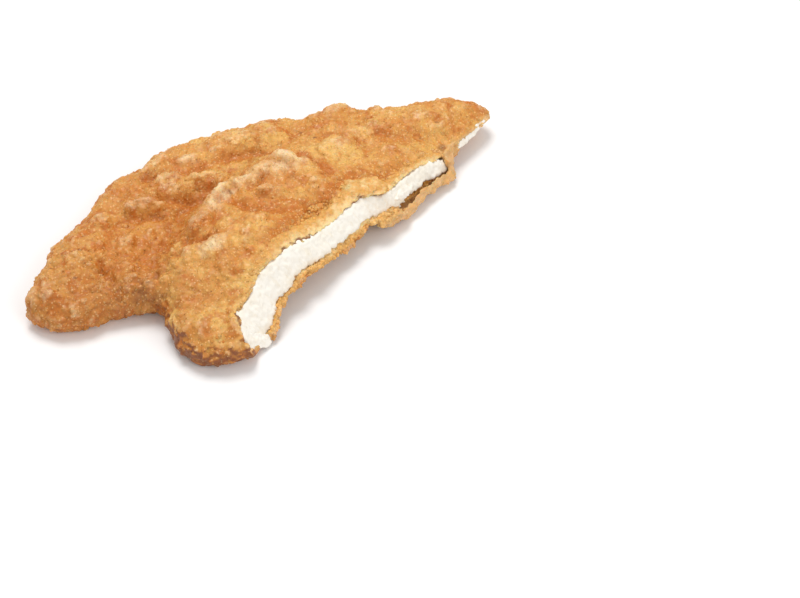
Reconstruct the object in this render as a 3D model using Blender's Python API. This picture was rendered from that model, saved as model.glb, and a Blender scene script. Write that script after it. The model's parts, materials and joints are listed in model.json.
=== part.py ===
"""A breaded chicken schnitzel with one long side cut away.

Two solids: the slab of chicken breast, which runs through the whole piece, and the breadcrumb coat round
it, which is open at the cut. Both are pillows on one curved middle surface, and a slanted cutter takes
the front right side off. Plan sizes are in millimetres, and the meshes are made in metres.
"""

import math

import bmesh
import bpy
import numpy as np
from mathutils import Vector, noise

MM = 0.001

# Thickness of the layers, and how far in from the outline their edges are rounded.
MEAT_HALF = 3.7
COAT = 1.7
GAP = 0.35
BODY_HALF = MEAT_HALF + GAP + COAT
EDGE_ROUND = 6.5

# The uncut outline seen from above: the back edge from the left tip to the right tip, the side that is
# cut away, and the front edge, with the lobe beside the cut, the notch and the low half.
HUB = (-6.0, 8.0)
BACK_EDGE = [
    (-65.5, -30.0), (-64.0, -22.0), (-59.5, -11.0), (-53.0, -2.5), (-49.5, 8.5), (-44.0, 17.0),
    (-38.0, 21.5), (-33.0, 28.0), (-25.0, 33.0), (-14.0, 37.5), (-5.0, 41.0), (4.0, 44.5), (12.0, 44.0),
    (22.0, 49.5), (32.0, 48.5), (44.0, 50.5), (56.0, 54.0), (64.5, 52.5), (68.5, 48.0),
]
REMOVED_EDGE = [(69.0, 43.0), (61.4, 28.0), (55.0, 11.0), (42.0, -16.0), (26.5, -33.5), (7.0, -48.0)]
FRONT_EDGE = [
    (-3.0, -53.0), (-11.5, -54.5), (-18.5, -50.5), (-23.5, -42.5), (-26.5, -34.0), (-31.5, -34.0),
    (-39.0, -36.0), (-46.5, -39.2), (-54.0, -41.5), (-61.0, -39.5), (-65.0, -35.0),
]

# The cut: a straight line in plan, on a plane that leans back towards the piece. The meat is cut there,
# and the upper coat has flaked back from it. At its front end the cut swings out, past the lobe's tip.
CUT_START = (0.0, -45.0)
CUT_END = (67.5, 43.0)
CUT_HEIGHT = 4.5
CUT_LEAN = math.radians(30.0)
CUT_WAVE = 1.1
CUT_WAVE_LENGTH = 9.0
CUT_SWING_FROM = 2.0
CUT_SWING = 0.11
BEVEL_START = 0.7
BEVEL_BACK = 5.6
BEVEL_UP = 4.0
MEAT_PROUD = 0.35
CUT_OVERRUN = 30.0
CUTTER_REACH = 60.0
CUTTER_BELOW = 25.0
CUTTER_ABOVE = 45.0
CUTTER_STEP = 3.2

# Heights of the middle surface. The lobe arches up along the cut, and falls over a crest to the low
# half at the back left. Pairs are (distance along the cut, value), and the crest is measured from it.
LOW_HEIGHT = 5.1
LOBE_HEIGHT = [
    (-20, 4.4), (-6, 5.6), (2, 8.0), (8, 10.0), (14, 12.0), (22, 13.2), (32, 12.6), (44, 11.2),
    (54, 11.2), (62, 9.2), (70, 6.6), (85, 5.6), (100, 6.4), (114, 7.4),
]
CREST_LINE = [(-14, 17), (0, 25), (8, 29), (18, 33), (32, 35.5), (50, 36), (60, 33), (72, 27), (90, 22)]
FLANK_WIDTH = 12.0
BACK_RISE = 0.9
BACK_RISE_FROM, BACK_RISE_TO = 15.0, 45.0
SWELL = 0.35
SWELL_TURNS = (0.11, 0.09)
FLOOR_BLEND = 0.5

# How thick the meat is along the cut, as a share, and where the lower coat hangs away from it.
THICKNESS_SHARE = [
    (-10, 1.08), (14, 1.1), (30, 0.92), (45, 1.1), (60, 0.95), (70, 0.74), (80, 0.92), (92, 0.7), (114, 0.62),
]
COAT_FOLLOWS = 0.35
CORE_FOLLOWS = 0.7
LOOSE_COAT_ALONG = 76.0
LOOSE_COAT_LENGTH = 13.0
LOOSE_COAT_DEPTH = 14.0
LOOSE_COAT_DROP = 1.5

# Lumps (positive) and dimples (negative) on the upper side: x, y, radius along, radius across,
# turn in degrees, height. Half of each shows on the meat below the coat.
LUMPS = [
    (-34.5, 0.5, 9.0, 4.0, 20, 1.6),
    (-38.5, -6.0, 4.5, 3.5, 0, -1.6),
    (-29.0, 22.0, 8.0, 5.0, 30, 1.3),
    (-28.5, 12.0, 7.0, 5.0, 20, 1.1),
    (-16.0, 13.0, 6.5, 5.0, 25, 1.3),
    (-1.5, 34.0, 10.0, 5.0, 20, 1.5),
    (-35.0, -25.0, 7.0, 5.0, 10, 1.3),
    (-29.0, -29.0, 5.0, 4.0, 0, 1.0),
    (-44.0, -27.0, 9.0, 3.5, 65, -1.2),
    (-53.0, -16.0, 9.0, 6.0, 60, 1.0),
    (-55.0, -31.0, 7.0, 5.0, 20, 0.8),
    (-10.5, -21.5, 6.5, 5.0, 10, 1.3),
    (-15.0, -15.5, 6.0, 3.0, 40, -1.3),
    (-15.5, -30.0, 8.0, 6.0, 60, 0.8),
    (4.0, 17.0, 8.0, 5.0, 20, 1.6),
    (-9.5, 3.5, 8.0, 4.5, 45, 1.2),
    (18.0, 24.0, 10.0, 4.5, 15, 1.3),
    (20.0, 36.0, 10.0, 6.0, 10, 1.0),
    (31.0, 41.0, 6.0, 4.0, 0, -1.0),
    (45.0, 42.0, 9.0, 5.0, 10, 0.9),
    (38.0, 27.0, 9.0, 6.0, 50, 0.7),
    (10.0, -1.0, 14.0, 4.5, 50, -0.8),
    (2.0, -14.0, 8.0, 5.0, 50, 0.7),
]
LUMP_FALLOFF = 1.2
CORE_LUMPS = 0.5
ROUGHNESS = 0.45
ROUGHNESS_LENGTH = 11.0

# Facets round and across each pillow.
COAT_FACETS = (70, 11)
CORE_FACETS = (54, 8)
EDGE_RINGS = 4
NORMAL_REACH = 2

CRUST_COLOUR = (0.58, 0.29, 0.09, 1.0)
MEAT_COLOUR = (0.86, 0.79, 0.70, 1.0)


def curve_through(points, per_span=10):
    """A closed smooth line through the points (Catmull-Rom), as an array of x, y rows."""
    p = np.array(points, float)
    rows = []
    for i in range(len(p)):
        a, b, c, d = p[i - 1], p[i], p[(i + 1) % len(p)], p[(i + 2) % len(p)]
        for t in np.arange(per_span) / per_span:
            bend = (2 * a - 5 * b + 4 * c - d) * t**2 + (3 * b - a - 3 * c + d) * t**3
            rows.append(b + 0.5 * ((c - a) * t + bend))
    return np.array(rows)


OUTLINE = curve_through(BACK_EDGE + REMOVED_EDGE + FRONT_EDGE)
CUT_LENGTH = math.dist(CUT_START, CUT_END)
CUT_DIRECTION = (np.array(CUT_END) - np.array(CUT_START)) / CUT_LENGTH
CUT_INWARD = np.array([-CUT_DIRECTION[1], CUT_DIRECTION[0]])


def along_and_behind(x, y):
    """Distance along the cut from its front corner, and distance behind it."""
    dx, dy = x - CUT_START[0], y - CUT_START[1]
    return dx * CUT_DIRECTION[0] + dy * CUT_DIRECTION[1], dx * CUT_INWARD[0] + dy * CUT_INWARD[1]


def smooth_step(value, low, high):
    t = np.clip((value - low) / (high - low), 0.0, 1.0)
    return t * t * (3 - 2 * t)


def above(height, floor):
    """The height, or the floor where that is higher, with a smooth change from one to the other."""
    over = height - floor
    blended = (over + FLOOR_BLEND) ** 2 / (4 * FLOOR_BLEND)
    return floor + np.where(over > FLOOR_BLEND, over, np.where(over < -FLOOR_BLEND, 0.0, blended))


def through(pairs, value, blur=4.0):
    """The value between the pairs, with the corners rounded off over twice the blur."""
    xs, ys = zip(*pairs)
    shifts = (-blur, -blur / 2, 0.0, blur / 2, blur)
    return sum(np.interp(value + shift, xs, ys) for shift in shifts) / len(shifts)


def middle_height(x, y):
    """Height of the surface halfway through the piece."""
    along, behind = along_and_behind(x, y)
    crest = through(CREST_LINE, along)
    on_lobe = 1.0 - smooth_step(behind, crest, crest + FLANK_WIDTH)
    low = LOW_HEIGHT + BACK_RISE * smooth_step(y, BACK_RISE_FROM, BACK_RISE_TO)
    low = low + SWELL * np.sin(x * SWELL_TURNS[0]) * np.cos(y * SWELL_TURNS[1])
    return low + (through(LOBE_HEIGHT, along) - low) * on_lobe


def bell(u, v):
    return np.exp(-(u * u + v * v) * LUMP_FALLOFF)


def lump_height(x, y):
    total = np.zeros_like(x)
    for cx, cy, long_radius, short_radius, turn, height in LUMPS:
        c, s = math.cos(math.radians(turn)), math.sin(math.radians(turn))
        u = ((x - cx) * c + (y - cy) * s) / long_radius
        v = ((y - cy) * c - (x - cx) * s) / short_radius
        total = total + height * bell(u, v)
    places = zip(x.ravel() / ROUGHNESS_LENGTH, y.ravel() / ROUGHNESS_LENGTH)
    rough = np.array([noise.noise(Vector((px, py, 0.0))) for px, py in places])
    return total + ROUGHNESS * rough.reshape(x.shape)


def half_thickness(x, y, half, follows):
    along, _ = along_and_behind(x, y)
    return half * (1 + (through(THICKNESS_SHARE, along) - 1) * follows)


def loose_coat(x, y):
    """Where the lower coat hangs away from the meat behind the cut, from 0 to 1."""
    along, behind = along_and_behind(x, y)
    return bell((along - LOOSE_COAT_ALONG) / LOOSE_COAT_LENGTH, behind / LOOSE_COAT_DEPTH)


def mesh_object(name, bm):
    bmesh.ops.recalc_face_normals(bm, faces=bm.faces[:])
    mesh = bpy.data.meshes.new(name)
    bm.to_mesh(mesh)
    bm.free()
    made = bpy.data.objects.new(name, mesh)
    bpy.context.collection.objects.link(made)
    return made


def ring_points(around, rings, inset):
    """Plan points of a pillow from the hub out to the outline less the inset, and each point's fullness.

    The inner rings are full thickness and don't depend on the inset, so nested pillows keep their facets
    side by side. The edge rings follow a quarter ellipse.
    """
    rim = OUTLINE[(np.arange(around) * len(OUTLINE) / around).astype(int)]
    tangent = np.roll(rim, -NORMAL_REACH, axis=0) - np.roll(rim, NORMAL_REACH, axis=0)
    tangent = tangent / np.linalg.norm(tangent, axis=1)[:, None]
    hub = np.array(HUB)
    from_hub = (rim - hub) / np.linalg.norm(rim - hub, axis=1)[:, None]
    outward = np.stack([-tangent[:, 1], tangent[:, 0]], axis=1) + from_hub
    outward = outward / np.linalg.norm(outward, axis=1)[:, None]
    inner = rim - EDGE_ROUND * outward - hub
    points = [hub[None]] + [hub + inner * share for share in np.arange(1, rings + 1) / rings]
    fullness = [np.ones(1 + around * rings)]
    for turn in math.pi / 2 * np.arange(1, EDGE_RINGS + 1) / EDGE_RINGS:
        depth = EDGE_ROUND * (1 - math.sin(turn)) + inset * math.sin(turn)
        points.append(rim - depth * outward)
        fullness.append(np.full(around, math.cos(turn)))
    return np.concatenate(points), np.concatenate(fullness)


def pillow(name, facets, inset, half, floor, lumps, follows, lift):
    """A closed pillow on the middle surface, its outline moved in by the inset and its edge rounded.

    A share of the lumps raises its upper side, and its thickness follows a share of the changes along
    the cut. Its lower side is flat where it would pass the floor, and lifted where the coat hangs loose.
    """
    around, rings = facets
    plan, fullness = ring_points(around, rings, inset)
    x, y = plan[:, 0], plan[:, 1]
    rim = len(plan) - around
    middle = middle_height(x, y)
    thickness = half_thickness(x, y, half, follows)
    top = middle + (thickness + lumps * lump_height(x, y)) * fullness
    base = middle - (thickness - lift * loose_coat(x, y)) * fullness
    top = above(top, floor)
    base = above(base, floor)

    bm = bmesh.new()
    upper = [bm.verts.new(Vector(p) * MM) for p in zip(x, y, top)]
    lower = [bm.verts.new(Vector(p) * MM) for p in zip(x[:rim], y, base)] + upper[rim:]
    for verts in (upper, lower):
        for i in range(around):
            j = (i + 1) % around
            bm.faces.new((verts[0], verts[1 + i], verts[1 + j]))
            for ring in range(rings + EDGE_RINGS - 1):
                inner, outer = 1 + ring * around, 1 + (ring + 1) * around
                bm.faces.new((verts[inner + i], verts[outer + i], verts[outer + j], verts[inner + j]))
    bmesh.ops.triangulate(bm, faces=bm.faces[:], quad_method="FIXED")
    return mesh_object(name, bm)


def cut_profile(along, forward, bevelled):
    """Points up the cut at one distance along it: a leaning face, then a bevel back over the meat."""
    wave = CUT_WAVE * noise.noise(Vector((along / CUT_WAVE_LENGTH, 0.0, 0.0)))
    swing = CUT_SWING * max(CUT_SWING_FROM - along, 0.0) ** 2
    foot = np.array(CUT_START) + CUT_DIRECTION * along - CUT_INWARD * (forward + wave + swing)
    x, y = foot[:1], foot[1:]
    meat = half_thickness(x, y, MEAT_HALF, CORE_FOLLOWS) + CORE_LUMPS * lump_height(x, y)
    meat_top = float((middle_height(x, y) + meat)[0])
    edge = (meat_top + BEVEL_START - CUT_HEIGHT) / math.cos(CUT_LEAN)
    back = BEVEL_BACK if bevelled else 0.0
    points = []
    for up, set_back in ((-CUTTER_BELOW, 0.0), (edge, 0.0), (edge + BEVEL_UP, back), (CUTTER_ABOVE, back)):
        plan = foot + CUT_INWARD * (up * math.sin(CUT_LEAN) + set_back)
        points.append(Vector((plan[0], plan[1], CUT_HEIGHT + up * math.cos(CUT_LEAN))) * MM)
    return points


def cutter(name, forward, bevelled):
    """A closed block whose near face is the cut, slightly wavy."""
    steps = int((CUT_LENGTH + 2 * CUT_OVERRUN) / CUTTER_STEP)
    profiles = [cut_profile(-CUT_OVERRUN + i * CUTTER_STEP, forward, bevelled) for i in range(steps + 1)]
    away = Vector((*(-CUT_INWARD * CUTTER_REACH), 0.0)) * MM
    bm = bmesh.new()
    loops = []
    for profile in profiles:
        near = [bm.verts.new(p) for p in profile]
        far = [bm.verts.new(p + away) for p in profile]
        loops.append(near + far[::-1])
    count = len(loops[0])
    for first, second in zip(loops, loops[1:]):
        for k in range(count):
            m = (k + 1) % count
            bm.faces.new((first[k], first[m], second[m], second[k]))
    bm.faces.new(loops[0])
    bm.faces.new(loops[-1])
    bmesh.ops.triangulate(bm, faces=bm.faces[:])
    return mesh_object(name, bm)


def subtract(solid, tools):
    """Takes the tools out of the solid for good, and removes them."""
    for tool in tools:
        cut = solid.modifiers.new(tool.name, "BOOLEAN")
        cut.operation = "DIFFERENCE"
        cut.solver = "EXACT"
        cut.object = tool
    depsgraph = bpy.context.evaluated_depsgraph_get()
    mesh = bpy.data.meshes.new_from_object(solid.evaluated_get(depsgraph))
    solid.modifiers.clear()
    solid.data = mesh
    for tool in tools:
        bpy.data.objects.remove(tool)


def surface(solid, colour, roughness):
    material = bpy.data.materials.new(solid.name)
    material.use_nodes = True
    shader = material.node_tree.nodes["Principled BSDF"]
    shader.inputs["Base Color"].default_value = colour
    shader.inputs["Roughness"].default_value = roughness
    shader.inputs["Metallic"].default_value = 0.0
    solid.data.materials.clear()
    solid.data.materials.append(material)
    solid.data.shade_smooth()


def breadcrumb_coat():
    coat = pillow("breadcrumb_coat", COAT_FACETS, 0.0, BODY_HALF, 0.0, 1.0, COAT_FOLLOWS, 0.0)
    cavity = pillow("cavity", CORE_FACETS, COAT, MEAT_HALF + GAP, COAT, CORE_LUMPS, CORE_FOLLOWS, 0.0)
    subtract(coat, [cavity, cutter("coat_cut", 0.0, True)])
    surface(coat, CRUST_COLOUR, 0.75)
    return coat


def chicken_breast():
    inset = COAT + GAP
    meat = pillow(
        "chicken_breast", CORE_FACETS, inset, MEAT_HALF, inset, CORE_LUMPS, CORE_FOLLOWS, LOOSE_COAT_DROP
    )
    subtract(meat, [cutter("meat_cut", MEAT_PROUD, False)])
    surface(meat, MEAT_COLOUR, 0.6)
    return meat


def stand_on_origin(solids):
    """Moves the meshes so that the origin is under the middle of the piece, on what it rests on."""
    points = [vertex.co for solid in solids for vertex in solid.data.vertices]
    low = Vector(map(min, *points))
    high = Vector(map(max, *points))
    shift = Vector((-(low.x + high.x) / 2, -(low.y + high.y) / 2, -low.z))
    for solid in solids:
        for vertex in solid.data.vertices:
            vertex.co += shift


def main():
    for old in list(bpy.data.objects):
        bpy.data.objects.remove(old)
    stand_on_origin([breadcrumb_coat(), chicken_breast()])


main()
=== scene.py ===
"""Looks of a breaded chicken schnitzel with one long side cut away.

Laid out as an add-on: sizes and colours are properties, each piece has its own operator, and main() calls
them in order. The mesh is in metres; the lists of named places below are in millimetres, in the frame of
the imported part. Places on the cut are given as (along, up, out): along it from its front corner, up its
slope, and square out of it.
"""

import itertools
import json
import math

import bpy
import numpy as np
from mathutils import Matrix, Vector, kdtree, noise

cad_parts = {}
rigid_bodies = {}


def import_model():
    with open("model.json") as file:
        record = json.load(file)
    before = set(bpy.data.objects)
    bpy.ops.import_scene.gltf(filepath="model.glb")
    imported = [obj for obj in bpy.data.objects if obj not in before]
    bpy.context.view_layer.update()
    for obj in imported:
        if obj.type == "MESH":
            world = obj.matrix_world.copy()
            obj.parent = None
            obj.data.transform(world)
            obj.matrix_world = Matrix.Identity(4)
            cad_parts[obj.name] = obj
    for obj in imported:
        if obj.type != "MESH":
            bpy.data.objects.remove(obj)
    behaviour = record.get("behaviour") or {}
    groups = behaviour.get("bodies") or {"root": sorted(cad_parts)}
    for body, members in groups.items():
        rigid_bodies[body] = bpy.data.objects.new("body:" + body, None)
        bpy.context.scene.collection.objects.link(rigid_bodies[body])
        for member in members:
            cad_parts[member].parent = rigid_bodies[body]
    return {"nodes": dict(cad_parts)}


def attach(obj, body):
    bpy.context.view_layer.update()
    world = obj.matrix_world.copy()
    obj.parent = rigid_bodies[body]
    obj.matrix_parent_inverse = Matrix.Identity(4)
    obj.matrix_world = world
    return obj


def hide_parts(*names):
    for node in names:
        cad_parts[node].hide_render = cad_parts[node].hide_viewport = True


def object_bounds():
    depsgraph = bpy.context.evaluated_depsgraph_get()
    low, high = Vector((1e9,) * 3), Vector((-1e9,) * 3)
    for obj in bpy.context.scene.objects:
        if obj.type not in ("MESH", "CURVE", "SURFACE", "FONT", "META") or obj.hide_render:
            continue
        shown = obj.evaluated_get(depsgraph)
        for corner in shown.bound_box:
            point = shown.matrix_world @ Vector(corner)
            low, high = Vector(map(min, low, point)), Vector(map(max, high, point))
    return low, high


bl_info = {
    "name": "Breaded Schnitzel",
    "version": (1, 0, 0),
    "blender": (4, 5, 0),
    "location": "View3D > Sidebar > Schnitzel",
    "description": "Builds the crust, the meat, the torn edges and the crumbs of a cut schnitzel",
    "category": "Object",
}

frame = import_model()
CAD_LOW, CAD_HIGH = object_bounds()
MM = 0.001

# The cut: a line in plan from the front corner to the right tip, on a plane that leans.
CUT_START = np.array((-1.73, -44.67))
CUT_END = np.array((65.77, 43.33))
CUT_HEIGHT = 4.5
CUT_LEAN = math.radians(30.0)
ALONG_PLAN = (CUT_END - CUT_START) / np.linalg.norm(CUT_END - CUT_START)
INWARD = np.array((-ALONG_PLAN[1], ALONG_PLAN[0]))
CUT_ORIGIN = np.array((*CUT_START, CUT_HEIGHT))
ALONG = np.array((*ALONG_PLAN, 0.0))
UPSLOPE = np.array((*(INWARD * math.sin(CUT_LEAN)), math.cos(CUT_LEAN)))
OUTWARD = np.array((*(-INWARD * math.cos(CUT_LEAN)), math.sin(CUT_LEAN)))

MEAT_END = 93.0  # where the meat ends along the cut
FLAP_START = 93.6  # where the coat that wraps round its end begins
POCKET_DEPTH = 7.0  # how far behind the cut the meat's pocket stays open
# Lower edge of the meat on the cut: along, up.
MEAT_FOOT = [(-4, -0.5), (6, -1.0), (14, 3.0), (26, 5.4), (38, 3.3), (50, 2.6), (62, 1.6), (74, -0.8), (95, -1.2)]

# The raised lobe's ridge, from its front left round to its right end.
CREST = [(-27, -34), (-27, -20), (-20.3, -14.3), (-17.4, -5.1), (-9.4, 2.6), (-1.8, 11.2), (4.1, 17.6), (11.4, 16.2), (17, 12)]

# Lumps on the upper side: x, y, radius along, radius across, turn in degrees, height, how floury, how browned.
LUMPS = [
    (4.0, 11.5, 8.5, 4.8, 10, 0.0, 0.8, 0.0),
    (-13.5, -5.0, 5.5, 3.5, 60, 0.0, 0.75, 0.0),
    (-22.0, -32.0, 6.0, 4.5, 100, 0.0, 0.0, 0.45),
    (-28.1, 10.0, 8.5, 5.0, 15, 1.5, 0.15, 0.0),
    (-17.0, 13.2, 6.5, 4.0, 15, 1.3, 0.1, 0.0),
    (-35.1, 0.9, 6.5, 3.0, 12, 1.6, 0.0, 0.95),
    (-35.0, 19.0, 7.0, 2.6, 48, 1.1, 0.6, 0.0),
    (-24.5, 21.8, 4.5, 2.2, 25, 0.9, 0.9, 0.0),
    (-13.7, 28.5, 10.0, 4.5, 20, 0.9, 0.2, 0.0),
    (-2.6, 32.0, 9.0, 4.5, 12, 1.0, 0.1, 0.0),
    (19.5, 39.0, 10.0, 6.0, 25, 1.2, 0.0, 0.2),
    (20.5, 26.0, 7.0, 5.0, 40, 1.0, 0.5, 0.0),
    (26.0, 34.0, 8.0, 4.0, 25, 0.7, 0.35, 0.0),
    (37.5, 38.0, 9.0, 6.0, 10, 0.9, 0.0, 0.1),
    (48.5, 39.0, 7.0, 5.0, 30, 0.9, 0.0, 0.0),
    (35.0, 24.0, 8.0, 4.0, 45, 0.7, 0.0, 0.0),
    (44.0, 28.0, 7.0, 3.5, 50, 0.6, 0.0, 0.15),
    (-5.8, 3.8, 4.5, 3.0, 20, 1.1, 0.6, 0.0),
    (-1.2, 9.6, 4.0, 3.0, 35, 0.9, 0.8, 0.0),
    (1.5, 1.0, 5.5, 2.6, 8, 1.2, 0.5, 0.0),
    (5.3, 15.0, 6.5, 3.2, -5, 1.0, 1.0, 0.0),
    (-13.5, -0.2, 6.5, 3.4, 50, 1.2, 1.0, 0.0),
    (4.1, 8.5, 5.0, 4.0, 0, 0.5, 0.2, 0.1),
    (12.9, 9.0, 5.0, 4.0, 30, 0.5, 0.0, 0.1),
    (16.0, 5.5, 5.0, 3.5, 40, 0.6, 0.0, 0.0),
    (-17.7, -13.0, 4.0, 5.5, 0, 1.2, 0.0, 0.95),
    (-13.6, -21.9, 5.5, 3.6, 10, 1.0, 0.95, 0.0),
    (-4.6, -15.0, 9.0, 6.5, 10, 0.8, 0.1, 0.0),
    (-22.5, -31.0, 5.0, 7.5, 10, 1.0, 0.0, 0.0),
    (-12.4, -46.0, 8.0, 4.5, 0, 0.6, 0.0, 0.0),
    (-9.5, -29.0, 6.0, 4.0, 0, 0.5, 0.0, 0.5),
    (-1.0, -25.5, 4.0, 4.0, 0, 0.4, 0.0, 0.5),
    (-52.0, -20.0, 10.0, 7.0, 60, 0.9, 0.1, 0.0),
    (-35.2, -29.8, 6.5, 4.5, 20, 1.4, 0.0, 0.9),
    (-30.4, -31.5, 3.5, 3.0, 0, 1.0, 0.0, 0.7),
    (-61.0, -33.0, 5.0, 5.0, 0, 0.7, 0.0, 0.5),
    (-47.7, -5.2, 4.0, 3.0, 20, 0.7, 0.0, 0.7),
    (-39.6, -14.3, 7.0, 5.0, 0, 0.5, 0.0, 0.1),
    (2.0, 38.5, 8.0, 4.0, 20, 0.5, 0.0, 0.0),
    (18.0, 43.0, 9.0, 5.0, 12, 1.1, 0.0, 0.1),
    (34.0, 44.0, 8.0, 4.0, 5, 0.6, 0.0, 0.1),
]

# Yellower, less browned patches: x, y, radius along, radius across, turn, strength.
HONEY_SPOTS = [
    (-24.5, -38.0, 6.0, 3.5, 100, 0.4),
    (-9.0, -43.0, 8.0, 4.0, 10, 0.8),
    (-2.5, -33.0, 8.0, 3.5, 60, 1.0),
    (2.0, -25.5, 8.0, 3.0, 52, 1.0),
    (18.3, 22.9, 7.0, 5.0, 30, 1.0),
    (22.9, 19.7, 5.0, 3.5, 30, 0.9),
    (0.5, 33.0, 8.0, 4.0, 15, 1.0),
    (-49.0, -7.0, 8.0, 5.0, 30, 0.7),
    (-55.0, -20.0, 8.0, 7.0, 60, 0.6),
    (9.0, -2.0, 4.0, 2.0, 50, 0.5),
    (-30.0, 12.0, 5.0, 4.0, 15, 0.7),
    (-17.5, 14.0, 5.0, 4.0, 15, 0.7),
]

# Grooves on the upper side: radius, depth, how much browner, partly painted shade in the crease, and the line that
# each follows.
GROOVES = [
    (1.7, 1.1, 0.9, [(-10.2, -3.9), (-2.4, -6.1), (7.6, -5.2), (13.3, -3.5), (18.4, -1.0)]),
    (2.2, 0.7, 0.8, [(24, 11), (21.2, 4.6), (18.4, -1.0), (14, -5.5), (10.1, -9.5), (6.4, -16), (2.6, -20)]),
    (1.5, 1.4, 0.6, [(-46.5, -21.5), (-44.3, -24.6), (-38.7, -32.6)]),
    (1.5, 1.1, 0.5, [(-41, -3.5), (-36, -3.2), (-30, -2.2)]),
    (1.5, 0.9, 0.4, [(-31, 3.0), (-25.4, 4.2), (-17.7, 5.7), (-14, 9)]),
    (1.6, 1.0, 0.5, [(-37, 13), (-31, 15.5), (-24, 17), (-16, 21.5), (-3.5, 25.8), (3, 23)]),
    (1.8, 1.0, 0.8, [(8, 21.5), (14.2, 16.5), (19, 12)]),
    (1.3, 0.9, 0.8, [(-21, -17), (-16.5, -18.6), (-13, -17.5)]),
]
# Soft orange-brown patches, one of them partly painted shade along the lobe's lower front rim: x, y, radius along,
# radius across, turn, strength.
BROWN_AND_SHADED_SPOTS = [
    (4.0, -3.0, 14.0, 3.2, 2, 0.55),
    (14.0, -3.0, 9.0, 3.5, 55, 0.55),
    # Partly painted shade along the lobe's lower front rim.
    (-12.0, -55.5, 10.0, 3.2, 5, 1.0),
    (33.0, 13.5, 9.0, 2.5, 52, 0.7),
    (38.0, 33.0, 7.0, 5.0, 0, 0.45),
    (49.0, 42.0, 7.0, 4.0, 20, 0.3),
    (3.0, 37.0, 4.0, 3.0, 0, 0.4),
    (-36.0, -12.0, 9.0, 9.0, 0, 0.35),
    (-49.0, -33.0, 12.0, 5.0, -10, 0.5),
    (-21.0, -48.0, 5.0, 4.0, -30, 0.6),
    (-13.4, -37.5, 6.0, 3.0, 0, 0.45),
    (-58.0, -38.0, 11.0, 5.0, -15, 0.65),
    (-50.0, -31.0, 9.0, 5.0, 0, 0.4),
    (-38.0, -35.0, 9.0, 3.0, 0, 0.5),
    (-30.0, -24.0, 6.0, 5.0, 60, 0.35),
    (64.0, 48.5, 5.0, 3.0, -25, 0.9),
    (56.0, 51.0, 5.0, 2.5, 0, 0.7),
    (9.0, 36.0, 6.0, 6.0, 0, 0.4),
    (30.0, 47.0, 9.0, 3.0, 5, 0.35),
    (39.0, 12.0, 6.0, 2.5, 52, 0.5),
]
# Charred specks on the upper side: x, y.
SPECKS = [(-52.3, -27.8), (-59.8, -24.1), (-52, -18.2), (23.1, 9.3), (-9.9, -0.2), (9.1, 34.6), (13.5, 30.4), (50.5, 38.5)]

# Width of the torn edge above the meat, and how creamy it is: along, width, share.
TORN_EDGE = [
    (-12, 0.8, 0.0), (0, 1.2, 0.2), (8, 1.8, 0.4), (16, 2.3, 0.55), (24, 3.6, 0.9), (32, 4.6, 1.0), (45, 4.3, 1.0),
    (60, 4.5, 1.0), (68, 3.2, 1.0), (76, 2.4, 0.9), (90, 2.0, 0.8), (100, 1.2, 0.5), (114, 1.0, 0.5),
]
# Where a line opens between the meat and the coat above it, with painted shade in the crack: from, to.
OPEN_LINES = [(-6.0, 1.0), (21.0, 36.0), (48.0, 57.0)]
FLAKE = (54.0, 67.0)  # the lifted flake's reach along the torn edge
# How far the coat droops over the meat's upper edge, and how far the lower edge is lifted: along, distance.
DROOP = [(18, 0), (26, 1.2), (33, 2.2), (42, 3.0), (48, 1.5), (55, 1.5), (61, 2.1), (67, 2.7), (73, 2.7), (78, 1.0), (83, 0)]
FOOT_LIFT = [(40, 0), (47, 1.2), (53, 2.0), (60, 0.6), (68, -0.8), (77, 1.5), (83, 1.2), (91, 0)]
# The lower rim, painted darker, partly browning and partly painted shade where it turns under: radius, strength, and
# the line that it follows.
BROWN_AND_SHADED_RIM = [
    (2.0, 0.75, [(-27.5, -24), (-28, -32), (-26.8, -38), (-24, -44)]),
    (5.5, 1.6, [(-27, -40), (-25, -45), (-21, -50), (-15.5, -54), (-8, -55), (-2, -53)]),
    (3.0, 0.7, [(56, 53.5), (61, 52.5), (65, 49), (66.5, 44)]),
    (1.3, 0.8, [(-28.5, -13), (-28.8, -20), (-29.2, -28), (-29, -33)]),
    (2.4, 0.6, [(-64, -33), (-61, -37), (-55, -40.5), (-47.5, -40), (-39.5, -36), (-33, -33.5)]),
]

# The sliver of meat that shows on the tip: along, lower and upper edge.
TIP_MEAT = [(97.5, 1.7, 2.5), (100, 1.3, 3.3), (104, 1.5, 3.7), (108, 1.9, 3.7), (111, 2.3, 3.3), (113, 2.6, 3.0)]

# The torn block of meat at the cut's lower front corner: along, lower and upper edge.
FOOT_MEAT = [(-3.0, -1.7, 0.2), (-2.2, -2.3, 2.4), (-0.6, -3.1, 2.3), (0.9, -4.0, 1.0), (2.2, -4.8, 0.0), (3.4, -4.7, -1.0), (4.6, -4.2, -2.0)]

# A torn fibre that lies along the meat near its right end: along, lower and upper edge.
FIBRE_MEAT = [(66.5, 2.5, 3.1), (68.3, 1.5, 3.9), (70.3, 0.9, 4.4), (72.2, 1.2, 4.0), (74.5, 2.0, 3.2)]

# The torn lower coat, which hangs loose and curls up: along, up and out of its lip and of its outer fold.
LOOSE_STRIP = [
    (56.0, 0.9, 0.3, -0.6, 0.5),
    (60.0, 0.1, 0.7, -2.0, 1.0),
    (66.0, -0.2, 1.1, -2.8, 1.6),
    (72.0, -0.9, 1.3, -3.2, 1.9),
    (78.0, -1.5, 1.5, -4.0, 2.1),
    (83.0, -1.4, 1.7, -4.1, 2.4),
    (88.0, -1.5, 1.9, -4.3, 2.5),
    (91.5, -1.2, 2.0, -4.2, 2.3),
]
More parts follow.
